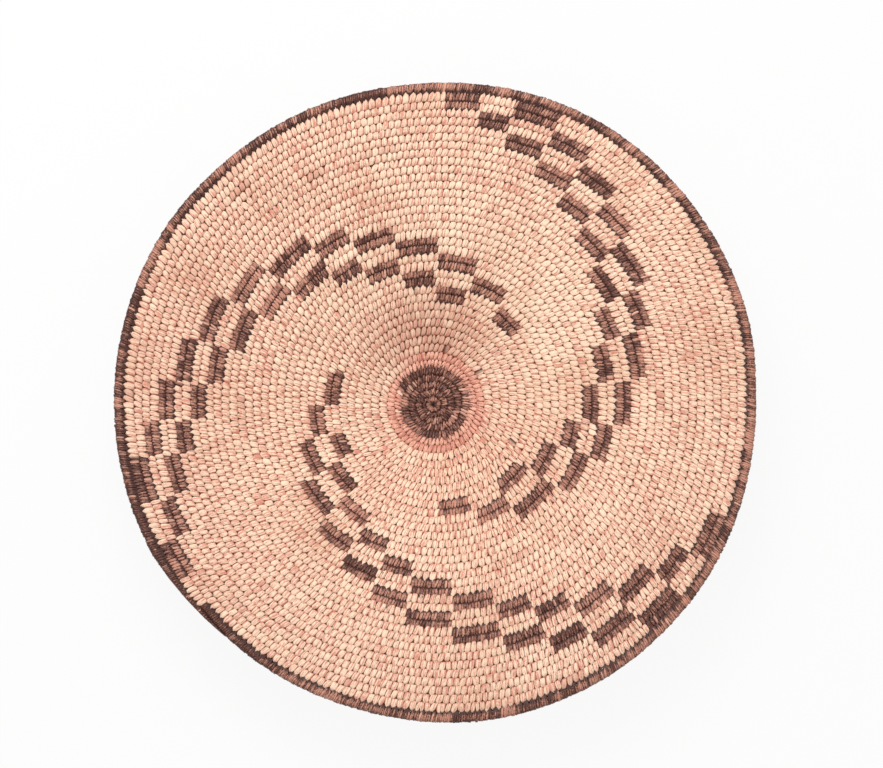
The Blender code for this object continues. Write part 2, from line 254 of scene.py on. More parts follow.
# A splint's colours, and what each kind has for them, how strongly its fibre shows
# as streaks that are partly painted sheen, and how soiled it is
# The crevice hue of each kind is painted shade, partly soil
HUES = ("Pale", "Deep", "Crevice", "Blush", "Odd")
LOOKS = {"light": ("light", "light_deep", "light_crevice_shade", "soiled", "dark_deep", 5, 0.5),
         "salmon": ("salmon", "salmon_deep", "salmon_crevice_shade", "light", "light", 3, 0.3),
         "dark": ("dark", "dark_deep", "dark_crevice_shade", "salmon_deep", "salmon", 3, 0.2)}

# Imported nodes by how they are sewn
LIGHT_NODES = ("light_field_ab", "light_field_bc", "light_field_ca")
STEP_NODES = ("arm_a_light_steps", "arm_b_light_steps", "arm_c_light_steps")
ARM_NODES = ("arm_a_dark_left", "arm_a_dark_right", "arm_b_dark_left",
             "arm_b_dark_right", "arm_c_dark_left", "arm_c_dark_right")
ROD_NODES = ("rim_rod_1", "rim_rod_2", "rim_rod_3")
DARK_NODES = ARM_NODES + ("dark_centre", "rim_binding")

# The photograph's frame, and the tray's place in it
PHOTO_WIDTH = 883
PHOTO_HEIGHT = 768
OUTLINE_MIDDLE = (437.5, 399.6)
OUTLINE_WIDTH = 644.2
# The camera: its distance, how far it leans and which way
CAMERA_DISTANCE = 1.8
CAMERA_TILT = math.radians(6)
CAMERA_SIDE = (-0.63, -0.78)
# The floor's depth under the tray, and how much of it is seen as plain white
FLOOR_DROP = 0.0005
FLOOR_GLOW = 0.9
# Strength of the light all round
FILL = 0.70


def length(name, description, default):
    """A size that can be set in the panel."""
    return FloatProperty(name=name, description=description, default=default,
                         min=0, unit="LENGTH", precision=5)


def colour(name, description, default):
    """A colour that can be set in the panel."""
    return FloatVectorProperty(name=name, description=description, default=default,
                               size=3, min=0, max=1, subtype="COLOR")


class TraySizes(bpy.types.PropertyGroup):
    """Sizes of the coil and the dish."""
    centre_pitch: length("Centre round", "Width of a round in the dark centre", 0.00407)
    plain_pitch: length("Plain round", "Width of a round in the plain zone", 0.00468)
    band_pitch: length("Band round", "Width of a round in the bands", 0.00445)
    rim_pitch: length("Rim round", "Width of the rim", 0.0059)
    coil_thickness: length("Coil thickness", "Thickness of a round", 0.0052)
    rim_thickness: length("Rim thickness", "Thickness of the rim", 0.0058)
    rise: length("Rise", "Height of the rim over the flat middle", 0.046)
    flat_radius: length("Flat radius", "Radius of the flat middle", 0.026)
    bend: length("Bend", "How softly the wall leaves the flat", 0.008)
    run_out: length("Run-out", "Reach past the rim where the wall levels off", 0.012)
    base_cut: length("Base cut", "Depth that the underside is worn flat", 0.0005)
    knot_radius: length("Knot radius", "Radius of the start knot", 0.0045)
    out_of_round: length("Out of round", "Widest swelling of the outline", 0.0036)
    tail_tip: length("Tail tip", "Width of the rim at its tapered end", 0.0004)


class StitchSizes(bpy.types.PropertyGroup):
    """Sizes of the stitches."""
    width: length("Stitch", "Width of a light stitch", 0.00295)
    dark_width: length("Dark stitch", "Width of a dark stitch", 0.00165)
    centre_width: length("Centre stitch", "Width of a stitch at the centre", 0.0021)
    rim_width: length("Rim stitch", "Width of a stitch of the rim", 0.00125)
    splint: length("Splint", "Thickness of a splint", 0.0004)
    core_width: length("Core width", "Width of the bundle inside the coil", 0.0049)
    core_depth: length("Core depth", "Thickness of the bundle inside the coil", 0.0040)
    seed: IntProperty(name="Seed", description="Start of the random draws", default=7)


class SplintColours(bpy.types.PropertyGroup):
    """Colours of the splints."""
    light: colour("Light", "Willow splint", (1.0, 0.755, 0.55))
    light_deep: colour("Light, deep", "Darker willow splint", (0.70, 0.28, 0.195))
    # Painted crevice shade between light stitches, partly soil
    light_crevice_shade: colour("Light, crevice", "Soiled crevice between light stitches",
                      (0.20, 0.06, 0.035))
    soiled: colour("Soiled", "Handled and stained willow", (0.58, 0.25, 0.17))
    dark: colour("Dark", "Faded dark splint", (0.64, 0.30, 0.21))
    dark_deep: colour("Dark, deep", "Unfaded dark splint", (0.082, 0.024, 0.016))
    # Painted crevice shade between dark stitches
    dark_crevice_shade: colour("Dark, crevice", "Crevice between dark stitches",
                     (0.055, 0.018, 0.013))
    salmon: colour("Salmon", "Salmon splint", (0.95, 0.52, 0.375))
    salmon_deep: colour("Salmon, deep", "Darker salmon splint", (0.56, 0.20, 0.14))
    # Painted crevice shade between salmon stitches
    salmon_crevice_shade: colour("Salmon, crevice", "Crevice between salmon stitches",
                       (0.20, 0.055, 0.035))
    foundation: colour("Foundation", "Rods inside the coil", (0.42, 0.17, 0.11))
    rod: colour("Rod", "Peeled shoot", (0.45, 0.32, 0.2))


def degrees_at(turns):
    """The angle that turns lie at."""
    return (turns * 360) % 360


def apart(angles, angle):
    """How many degrees angles lie past another, the shorter way round."""
    return (angles - angle + 180) % 360 - 180


def look_up(table, places):
    """A table's values at places, straight from row to row."""
    return np.interp(places, *np.array(table).T)


def put(name, data):
    """A new object in the scene."""
    item = bpy.data.objects.new(name, data)
    bpy.context.scene.collection.objects.link(item)
    return item


class Coil:
    """The coil's course and the dish that it forms."""

    def __init__(self, sizes):
        self.sizes = sizes
        widths = np.array((sizes.centre_pitch, sizes.plain_pitch,
                           sizes.band_pitch, sizes.rim_pitch))
        self.radii = np.concatenate(([0], np.cumsum(widths * np.diff(PITCH_TURNS))))
        self.rim_radius = np.interp(RIM_END, PITCH_TURNS, self.radii)
        low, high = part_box("start_knot")
        self.middle_x = (low[0] + high[0]) / 2
        self.middle_y = (low[1] + high[1]) / 2

    def swell(self, turn):
        """Share of the outline's swelling at a turn's angle."""
        angle = degrees_at(turn)
        places = np.array(SWELL_SHARES)
        index = np.searchsorted(places[:, 0], angle, side="right") - 1
        part = (angle - places[index, 0]) / (places[index + 1, 0] - places[index, 0])
        blend = (1 - np.cos(math.pi * part)) / 2
        return places[index, 1] + (places[index + 1, 1] - places[index, 1]) * blend

    def seam(self, turn):
        """Radius of the seam at a winding turn."""
        true = np.maximum(np.interp(turn, PITCH_TURNS, self.radii),
                          self.sizes.knot_radius)
        swelling = self.sizes.out_of_round * self.swell(turn)
        return true + swelling * (true / self.rim_radius) ** SWELL_SHARE

    def taper(self, turn):
        """Share of the rim's full width that is left at a turn."""
        past = np.clip((turn - TAIL_START) / (RIM_END - TAIL_START), 0, 1)
        return 1 - (1 - self.sizes.tail_tip / self.sizes.rim_pitch) * past

    def width(self, turn):
        """Width of the round at a turn."""
        return (self.seam(turn + 1) - self.seam(turn)) * self.taper(turn)

    def middle(self, turn):
        """Radius of the round's middle at a turn."""
        return self.seam(turn) + self.width(turn) / 2

    def half_thickness(self, turn):
        """Distance from the middle surface to the round's crest."""
        rim = self.sizes.rim_thickness * (1 + self.taper(turn)) / 2
        return np.where(turn > RIM_START, rim, self.sizes.coil_thickness) / 2

    def rise(self, radius):
        """Height of the dish's middle surface over its flat centre."""
        flat, bend = self.sizes.flat_radius, self.sizes.bend
        run = self.rim_radius + self.sizes.run_out - flat
        climb = (radius - flat + np.hypot(radius - flat, bend)) / 2
        at_centre = (-flat + math.hypot(flat, bend)) / 2
        share = np.clip((climb - at_centre) / run, 0, 1)
        return self.sizes.rise * (1 - (1 - share) ** EASE_SHARE)

    def place(self, angle, radius, normal):
        """Points off the dish's middle surface, never under the floor."""
        step = self.sizes.bend / 100
        climb = self.rise(radius + step) - self.rise(radius - step)
        slope = np.arctan2(climb, 2 * step)
        out = radius - normal * np.sin(slope)
        height = self.rise(radius) + normal * np.cos(slope)
        height = height + self.sizes.coil_thickness / 2 - self.sizes.base_cut
        return np.stack((self.middle_x + out * np.cos(angle),
                         self.middle_y + out * np.sin(angle),
                         np.maximum(height, 0)), axis=-1)


class Sewing:
    """All stitches of the tray: their turns, roots, widths, nodes and tones."""

    def __init__(self, coil, stitch):
        self.coil = coil
        self.stitch = stitch
        self.draw = random.Random(stitch.seed)
        places = np.arange(0, math.ceil(RIM_END * LOOKUPS) + 1) / LOOKUPS
        self.middles = coil.middle(places)
        self.rounds = coil.width(places)
        self.names = self.trim_blocks(self.find_nodes(places))
        self.lay()
        self.draw_tones()
        self.draw_marks()

    def find_nodes(self, places):
        """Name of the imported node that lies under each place."""
        points, faces, owners = [], [], []
        for name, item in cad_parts.items():
            if name in ROD_NODES or name == "start_knot":
                continue
            start = len(points)
            points += [vertex.co.copy() for vertex in item.data.vertices]
            for face in item.data.polygons:
                faces.append([start + index for index in face.vertices])
                owners.append(name)
        tree = BVHTree.FromPolygons(points, faces)
        past = look_up(BLOCK_TURNS, degrees_at(places)) / 360
        solids = places - np.where(places > FIRST_BLOCKS, past, 0)
        crests = self.coil.place(solids * math.tau, self.coil.middle(solids),
                                 self.coil.half_thickness(solids))
        return [owners[tree.find_nearest(Vector(crest))[2]] for crest in crests]

    def trim_blocks(self, names):
        """Names with the dark blocks' ends beside a light field given to it."""
        trimmed = list(names)
        for index, name in enumerate(names):
            if name in ARM_NODES:
                trim = -LEFT_TRIM if name.endswith("left") else RIGHT_TRIM
                around = math.tau * self.middles[index]
                beside = names[index + round(trim / around * LOOKUPS)]
                if beside in LIGHT_NODES:
                    trimmed[index] = beside
        return trimmed

    def name_at(self, turn):
        """Name of the node at a turn."""
        return self.names[min(round(turn * LOOKUPS), len(self.names) - 1)]

    def kind(self, name):
        """Kind of splint that a node is sewn with."""
        if name == "rim_binding":
            return "rim"
        if name == "salmon_rounds":
            return "salmon"
        return "dark" if name in DARK_NODES else "light"

    def spacing(self, name, radius):
        """Distance from one stitch to the next."""
        kind = self.kind(name)
        if kind == "rim":
            return self.stitch.rim_width
        if name in ARM_NODES:
            return self.stitch.dark_width
        full = self.stitch.centre_width if kind == "dark" else self.stitch.width
        return full * look_up(WIDTH_SHARES, radius)

    def lay(self):
        """Stitch after stitch, each into a gap of the round before."""
        turns, roots, nodes = [COIL_START], [COIL_START], [self.name_at(COIL_START)]
        while turns[-1] < RIM_END:
            last = turns[-1]
            place = round(last * LOOKUPS)
            radius = float(self.middles[place])
            name = self.name_at(last)
            step = self.spacing(name, radius) / (math.tau * radius)
            loose = RIM_LOOSE if name == "rim_binding" else LOOSE
            wanted = last + step * self.draw.uniform(1 - loose, 1 + loose)
            shift = math.tan(LEAN) * self.rounds[place] / (math.tau * radius)
            below = wanted - 1 + shift
            index = bisect_left(turns, below)
            root = wanted
            if 1 < index < len(turns) - 1:
                gaps = [(turns[i - 1] + turns[i]) / 2
                        for i in (index - 1, index, index + 1)]
                nearest = min(gaps, key=lambda gap: abs(gap - below))
                if name != "rim_binding":
                    pull = (nearest - below) / step
                    pull = max(-PULL_REACH, min(PULL_REACH, pull))
                    wanted += pull * step * PULL
                root = nearest + 1 - shift
            least, most = (last + step * share for share in STEP_RANGE)
            turns.append(max(least, min(most, wanted)))
            roots.append(root)
            nodes.append(self.name_at(turns[-1]))
        self.turns = np.array(turns[:-1])
        self.nodes = np.array(nodes[:-1])
        around = math.tau * self.coil.middle(self.turns)
        self.strays = (np.array(roots[:-1]) - self.turns) * around
        steps = np.diff(turns)
        self.left = np.concatenate((steps[:1], steps[:-1])) * around / 2
        self.right = steps * around / 2
        self.reaches, self.laps = (
            np.array([at(turn, node) for turn, node in zip(turns, nodes[:-1])])
            for at in (self.reach_at, self.lap_at))

    def reach_at(self, turn, node):
        """How far a stitch's outer tip reaches in between those of the next round."""
        if node == "rim_binding" or turn > RIM_START - 1 / 360:
            return 0
        beyond = "rim_binding" if turn + 1 > RIM_START else self.name_at(turn + 1)
        if node == "dark_centre":
            reaches = CENTRE_REACHES if beyond == node else EDGE_REACHES
        elif (node in DARK_NODES) != (beyond in DARK_NODES):
            reaches = DARK_REACHES if node in DARK_NODES else LIGHT_REACHES
        else:
            reaches = OWN_REACHES
        return self.draw.uniform(*reaches)

    def lap_at(self, turn, node):
        """How far a stitch laps over the round before, if that is the other colour."""
        if node == "rim_binding":
            return TAIL_LAP * (1 - self.coil.taper(turn))
        before = self.name_at(turn - 1) if turn > COIL_START + 1 else node
        if before == "dark_centre" or (node in DARK_NODES) == (before in DARK_NODES):
            return 0
        return self.draw.uniform(*(DARK_LAPS if node in DARK_NODES else LIGHT_LAPS))

    def draw_tones(self):
        """Tone of each stitch: one splint after another, each a little unlike."""
        tones, left = [], 0
        for index, node in enumerate(self.nodes):
            changed = index == 0 or node != self.nodes[index - 1]
            own, unlike, uneven = TONE_SHARES[self.kind(node)]
            if changed or left == 0:
                left = self.draw.randint(*RUNS[self.kind(node)])
                splint = self.draw.gauss(own, unlike)
                if changed and node in ARM_NODES:
                    below = bisect_left(self.turns, self.turns[index] - 1)
                    if below < index and self.nodes[below] == node:
                        splint = (splint * OWN_TONE_SHARE
                                  + tones[below] * (1 - OWN_TONE_SHARE))
            left -= 1
            tones.append(splint + self.draw.gauss(0, uneven))
        tones = np.array(tones)
        dark = np.isin(self.nodes, DARK_NODES)
        tones[dark] += look_up(DARK_TONE_SHARES, self.coil.middle(self.turns[dark]))
        on_rim = self.nodes == "rim_binding"
        tones[on_rim] += look_up(RIM_TONE_SHARES, degrees_at(self.turns[on_rim]))
        tones[on_rim & (self.turns < RIM_END - 1)] = 0
        self.tones = np.clip(tones, 0, 1)

    def draw_marks(self):
        """Soiled, faded and odd stitches."""
        count = len(self.turns)
        radii = self.coil.middle(self.turns)
        angles = degrees_at(self.turns)
        light = ~np.isin(self.nodes, DARK_NODES)
        draw = np.random.default_rng(self.stitch.seed)
        stain = np.zeros(count)
        for radius, reach, angle, spread, strength in STAIN_SHARES:
            stain += strength * np.exp(-((radii - radius) / reach) ** 2
                                       - (apart(angles, angle) / spread) ** 2)
        stain *= draw.uniform(*STAIN_RANGE, count)
        for start in np.nonzero(draw.random(count) < SOILED_CHANCE)[0]:
            end = start + draw.integers(*SOILED_RUNS)
            stain[start:end] += draw.uniform(*SOILED_RANGE)
        self.tones = np.clip(self.tones + light * np.clip(-stain, 0, 1), 0, 1)
        self.blush = np.clip(np.where(light, stain, 0), 0, 1)
        salmon = self.nodes == "salmon_rounds"
        left = self.turns[salmon].max() - self.turns[salmon]
        paling = np.clip(1 - left / SALMON_PALING_TURNS, 0, 1)
        self.blush[salmon] = SALMON_PALING * paling
        chance = np.where(light, ODD_LIGHT_CHANCE, ODD_ARM_CHANCE)
        for node, likely in ODD_CHANCES.items():
            chance[self.nodes == node] = likely
        self.odd = np.where(draw.random(count) < chance,
                            draw.uniform(*ODD_RANGE, count), 0)
        for radius, angle in ODD_PLACES:
            off = np.hypot(radii - radius, radii * np.radians(apart(angles, angle)))
            self.odd[off.argmin()] = 1


def unit_stitch(stations):
    """A ring of stations, four points each, spun from its section."""
    ring = 3
    shape = bmesh.new()
    bmesh.ops.create_circle(shape, segments=len(SPLINT_SHARES), radius=1)
    bmesh.ops.rotate(shape, cent=(0, 0, 0), verts=shape.verts,
                     matrix=Matrix.Rotation(math.pi / 2, 3, "X"))
    bmesh.ops.translate(shape, vec=(ring, 0, 0), verts=shape.verts)
    bmesh.ops.spin(shape, geom=shape.verts[:] + shape.edges[:], cent=(0, 0, 0),
                   axis=(0, 0, 1), angle=math.tau, steps=stations, use_merge=True,
                   use_duplicate=False)
    bmesh.ops.recalc_face_normals(shape, faces=shape.faces)
    shape.verts.ensure_lookup_table()
    station, corner = [], []
    for vertex in shape.verts:
        x, y, z = vertex.co
        station.append(round(math.atan2(y, x) / math.tau * stations) % stations)
        part = math.atan2(z, math.hypot(x, y) - ring) / math.tau
        corner.append(round(part * len(SPLINT_SHARES)) % len(SPLINT_SHARES))
    faces = np.array([[vertex.index for vertex in face.verts] for face in shape.faces])
    shape.free()
    return faces, np.array(station), np.array(corner)


def sew(name, rows, shares, roundness, marks, coil, stitch, material):
    """A piece of many stitches, each bent to its place over the coil."""
    table = np.array(shares)
    faces, station, corner = unit_stitch(len(table))
    across_share, off_share, width_share, shade_share, root_share = table[station].T
    column, depth = np.array(SPLINT_SHARES)[corner].T
    count = len(rows["turn"])
    draw = np.random.default_rng(stitch.seed + count)

    def each(values):
        return np.asarray(values)[:, None]

    middle = each(rows["middle"])
    lean = each(rows["lean"] + draw.normal(0, 1, count) * rows["sway"])
    tip = np.maximum(0, across_share - TIP_START) / TIP_START * each(rows["reach"])
    slip = draw.normal(0, 1, count) * rows["slip"]
    inward = root_share * each(rows["lap"])
    across = (across_share + each(slip) + tip - inward) * each(rows["round"])
    lift = draw.normal(0, LIFT, count)
    raised = np.sign(off_share) * (tip + inward) * RAISE
    off = (off_share * each(1 + lift) + raised) * each(rows["half"])
    centre = np.hypot(across * roundness, off)
    across_in = across * (1 - depth * stitch.splint * roundness / centre)
    off_in = off * (1 - depth * stitch.splint / centre)
    half_width = np.where(column < 0, each(rows["left"]), each(rows["right"]))
    full = each(draw.uniform(1, FULLEST, count))
    sideways = (column * width_share * half_width * full * (1 - NARROWING * inward)
                + root_share * each(rows["stray"]) - np.tan(lean) * across)
    angle = each(rows["turn"]) * math.tau + sideways / middle
    points = coil.place(angle, middle + across_in, off_in)

    mesh = bpy.data.meshes.new(name)
    all_faces = (faces[None] + (np.arange(count) * len(station))[:, None, None])
    mesh.from_pydata(points.reshape(-1, 3).tolist(), [],
                     all_faces.reshape(-1, 4).tolist())
    mesh.shade_smooth()
    # Painted crevice shade: by the table and zone, cleared off tips, and on each splint's
    # bevelled sides
    deep = np.clip(shade_share * each(rows["shade_strength"]), 0, 1)
    deep = deep * np.clip(1 - SHADE_CLEARING * tip, 0, 1)
    values = dict(marks, crevice_shade_and_soil=np.maximum(deep, depth))
    values["odd"] = each(marks["odd"]) * (column > 0)
    for key, value in values.items():
        if value.ndim == 1:
            value = np.repeat(value, len(station))
        layer = mesh.attributes.new(key, "FLOAT", "POINT")
        layer.data.foreach_set("value", value.astype(np.float32).ravel())
    flat = np.stack(np.broadcast_arrays(
        column * half_width * FIBRE_ACROSS + each(draw.uniform(0, FIBRE_SPREAD, count)),
        station * FIBRE_ALONG + each(draw.uniform(0, FIBRE_SPREAD, count))),
        axis=-1).reshape(-1, 2)
    uv = mesh.uv_layers.new(name="fibre")
    uv.data.foreach_set("uv", flat[all_faces.ravel()].astype(np.float32).ravel())
    mesh.materials.append(material)
    return put(name, mesh)


def dress(piece, slot, *nodes):
    """Tell the frame what a piece rides on and hide the parts it stands for; the slot it
    is made of is not used.
    """
    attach(piece, "root")
    if nodes:
        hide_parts(*nodes)


def add_math(tree, operation, first, second, clamp=False):
    """A Math node whose inputs are sockets or numbers."""
    node = tree.nodes.new("ShaderNodeMath")
    node.operation = operation
    node.use_clamp = clamp
    for index, value in enumerate((first, second)):
        if isinstance(value, (int, float)):
            node.inputs[index].default_value = value
        else:
            tree.links.new(value, node.inputs[index])
    return node.outputs[0]


def add_mix(tree, factor, first, second, blend="MIX"):
    """A Mix node for colours."""
    node = tree.nodes.new("ShaderNodeMix")
    node.data_type = "RGBA"
    node.blend_type = blend
    for socket, value in ((node.inputs[0], factor), (node.inputs[6], first),
                          (node.inputs[7], second)):
        if isinstance(value, (int, float, tuple)):
            socket.default_value = value
        else:
            tree.links.new(value, socket)
    return node.outputs[2]


def add_slope(tree, value, start, sharpness):
    """Nought up to a start, and from there up to one."""
    past = add_math(tree, "SUBTRACT", value, start)
    return add_math(tree, "MULTIPLY", past, sharpness, clamp=True)


def add_attribute(tree, name):
    """A stitch's own value, such as its tone."""
    node = tree.nodes.new("ShaderNodeAttribute")
    node.attribute_name = name
    return node.outputs["Fac"]


def add_noise(tree, coordinates, scale, detail, stretch=(1, 1, 1)):
    """Noise over the given coordinates, stretched along one of them."""
    mapping = tree.nodes.new("ShaderNodeMapping")
    mapping.inputs["Scale"].default_value = stretch
    tree.links.new(coordinates, mapping.inputs["Vector"])
    noise = tree.nodes.new("ShaderNodeTexNoise")
    noise.inputs["Scale"].default_value = scale
    noise.inputs["Detail"].default_value = detail
    tree.links.new(mapping.outputs[0], noise.inputs["Vector"])
    return noise.outputs["Fac"]


def add_relief(tree, height, strength, depth):
    """Let a height raise a material's surface."""
    bump = tree.nodes.new("ShaderNodeBump")
    bump.inputs["Strength"].default_value = strength
    bump.inputs["Distance"].default_value = depth
    tree.links.new(height, bump.inputs["Height"])
    shader = tree.nodes["Principled BSDF"]
    tree.links.new(bump.outputs["Normal"], shader.inputs["Normal"])


def add_seen(tree, *rays):
    """One for a ray of these kinds, and nought for any other."""
    path = tree.nodes.new("ShaderNodeLightPath")
    seen = path.outputs[rays[0]]
    for ray in rays[1:]:
        seen = add_math(tree, "MAXIMUM", seen, path.outputs[ray])
    return seen


def put_out(tree, factor, first, second, output):
    """Show one shader or the other, by a factor."""
    mix = tree.nodes.new("ShaderNodeMixShader")
    for index, value in enumerate((factor, first.outputs[0], second.outputs[0])):
        tree.links.new(value, mix.inputs[index])
    tree.links.new(mix.outputs[0], tree.nodes.new(output).inputs["Surface"])


def splint_group():
    """Colour, roughness and fibre height of a split shoot that has been sewn."""
    if "split_shoot" in bpy.data.node_groups:
        return bpy.data.node_groups["split_shoot"]
    tree = bpy.data.node_groups.new("split_shoot", "ShaderNodeTree")
    sockets = [("INPUT", hue, "Color") for hue in HUES]
    sockets += [("INPUT", "Fibre_and_sheen", "Float"), ("INPUT", "Soiling", "Float"),
                ("OUTPUT", "Color", "Color"), ("OUTPUT", "Roughness", "Float"),
                ("OUTPUT", "Height", "Float")]
    for way, label, kind in sockets:
        tree.interface.new_socket(label, in_out=way, socket_type="NodeSocket" + kind)
    inside = tree.nodes.new("NodeGroupInput")
    outside = tree.nodes.new("NodeGroupOutput")
    uv = tree.nodes.new("ShaderNodeUVMap")
    uv.uv_map = "fibre"
    place = tree.nodes.new("ShaderNodeTexCoord").outputs["Object"]
    fibre = add_noise(tree, uv.outputs[0], 1, 3, FIBRE_STRETCH)
    soil = add_noise(tree, place, SOIL_SCALE, 3)
    grime = add_noise(tree, place, GRIME_SCALE, 2)
    grain = add_noise(tree, place, GRAIN_SCALE, 2)

    # Fibre streaks in the tone: the splint's grain, partly painted sheen
    centred = add_math(tree, "SUBTRACT", fibre, 0.5)
    strayed = add_math(tree, "MULTIPLY", centred, inside.outputs["Fibre_and_sheen"])
    tone = add_math(tree, "ADD", add_attribute(tree, "tone"), strayed)
    # Painted shade: the tone drops towards the crevices, so the crest looks lit
    edge_shade = add_math(tree, "MULTIPLY", add_attribute(tree, "crevice_shade_and_soil"), SHADE_DARKENING)
    tone = add_math(tree, "SUBTRACT", tone, edge_shade)
    grained = add_math(tree, "MULTIPLY", grain, GRAIN_CHANGE)
    tone = add_math(tree, "ADD", tone, grained)
    tone = add_math(tree, "SUBTRACT", tone, GRAIN_CHANGE / 2, clamp=True)
    body = add_mix(tree, tone, inside.outputs["Deep"], inside.outputs["Pale"])
    for mark in ("blush", "odd"):
        body = add_mix(tree, add_attribute(tree, mark), body,
                       inside.outputs[mark.capitalize()])
    patch = add_slope(tree, soil, PATCH_START, PATCH_SHARPNESS)
    patch = add_math(tree, "MULTIPLY", patch, inside.outputs["Soiling"])
    body = add_mix(tree, patch, body, PATCH_COLOUR, "MULTIPLY")
    # Painted crevice shade, made uneven by grime and deepened by stains, takes the crevice
    # colour
    crevice_shade_and_soil = add_math(tree, "ADD", add_attribute(tree, "crevice_shade_and_soil"),
                    add_math(tree, "MULTIPLY", grime, GRIME_CHANGE))
    soiled = add_math(tree, "MULTIPLY", inside.outputs["Soiling"],
                      add_attribute(tree, "blush"))
    crevice_shade_and_soil = add_slope(tree, add_math(tree, "ADD", crevice_shade_and_soil, soiled), CREVICE_START,
                     CREVICE_SHARPNESS)
    tree.links.new(add_mix(tree, crevice_shade_and_soil, body, inside.outputs["Crevice"]),
                   outside.inputs["Color"])
    rough = add_math(tree, "MULTIPLY", centred, ROUGHNESS_CHANGE)
    tree.links.new(add_math(tree, "ADD", rough, SPLINT_ROUGHNESS),
                   outside.inputs["Roughness"])
    tree.links.new(fibre, outside.inputs["Height"])
    return tree


def colours():
    """The colours that the panel holds."""
    return bpy.context.scene.tray_colours


def splint_material(kind):
    """The material for stitches of one kind of splint."""
    name = "sewn_" + kind
    if name in bpy.data.materials:
        return bpy.data.materials[name]
    material = bpy.data.materials.new(name)
    material.use_nodes = True
    tree = material.node_tree
    shader = tree.nodes["Principled BSDF"]
    group = tree.nodes.new("ShaderNodeGroup")
    group.node_tree = splint_group()
    *hues, fibre, soiling = LOOKS[kind]
    for label, hue in zip(HUES, hues):
        group.inputs[label].default_value = (*getattr(colours(), hue), 1)
    group.inputs["Fibre_and_sheen"].default_value = fibre
    group.inputs["Soiling"].default_value = soiling
    tree.links.new(group.outputs["Color"], shader.inputs["Base Color"])
    tree.links.new(group.outputs["Roughness"], shader.inputs["Roughness"])
    add_relief(tree, group.outputs["Height"], strength=0.6, depth=0.0004)
    shader.inputs["Specular IOR Level"].default_value = 0.35
    return material


def rod_material(name, base):
    """Peeled shoots, with grain and stain."""
    if name in bpy.data.materials:
        return bpy.data.materials[name]
    material = bpy.data.materials.new(name)
    material.use_nodes = True
    tree = material.node_tree
    shader = tree.nodes["Principled BSDF"]
    place = tree.nodes.new("ShaderNodeTexCoord").outputs["Object"]
    grain = add_noise(tree, place, ROD_SCALE, 3)
    darker = tuple(channel * ROD_DARKENING for channel in base)
    tree.links.new(add_mix(tree, grain, (*darker, 1), (*base, 1)),
                   shader.inputs["Base Color"])
    add_relief(tree, grain, strength=0.4, depth=0.0002)
    shader.inputs["Roughness"].default_value = 0.75
    return material


kept = {}


def sewing():
    """The stitches of the whole tray, laid once."""
    if "sewing" not in kept:
        scene = bpy.context.scene
        kept["sewing"] = Sewing(Coil(scene.tray_sizes), scene.tray_stitches)
    return kept["sewing"]


def sew_node(node, shares=COIL_STITCH_SHARES, roundness=0):
    """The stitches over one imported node, as one piece."""
    work = sewing()
    coil = work.coil
    kind = work.kind(node)
    material = splint_material("dark" if kind == "rim" else kind)
    mine = work.nodes == node
    turns = work.turns[mine]
    level = np.ones(len(turns))
    # Painted crevice shade, stronger by zone: a dark line in part of the first salmon
    # round, less of it on paler rim stitches
    shade_strength = level
    if kind == "salmon":
        angles = degrees_at(turns)
        low, high = SALMON_SHADE_PLACES
        inner = (turns < turns.min() + 1) & (angles > low) & (angles < high)
        shade_strength = np.where(inner, SALMON_SHADE, 1)
    elif kind != "light":
        faded = RIM_SHADE * (1 - RIM_FADE * work.tones[mine])
        shade_strength = level * {"dark_centre": CENTRE_SHADE,
                          "rim_binding": faded}.get(node, ARM_SHADE)
    settled = np.where(turns > turns.max() - 1, CENTRE_EDGE_SHARE, 1)
    rows = {"turn": turns, "middle": coil.middle(turns), "round": coil.width(turns),
            "half": coil.half_thickness(turns), "left": work.left[mine],
            "right": work.right[mine], "stray": work.strays[mine],
            "reach": work.reaches[mine], "lean": level * LEAN,
            "lap": work.laps[mine], "shade_strength": shade_strength,
            "slip": level * (CENTRE_SLIP if node == "dark_centre" else SLIP),
            "sway": level * {"dark_centre": CENTRE_SWAY * settled,
                             "rim_binding": RIM_SWAY}.get(node, SWAY)}
    marks = {"tone": work.tones[mine], "blush": work.blush[mine],
             "odd": work.odd[mine]}
    piece = sew("sewn_" + node, rows, shares, roundness, marks, coil, work.stitch,
                material)
    dress(piece, kind + "_splint", node)


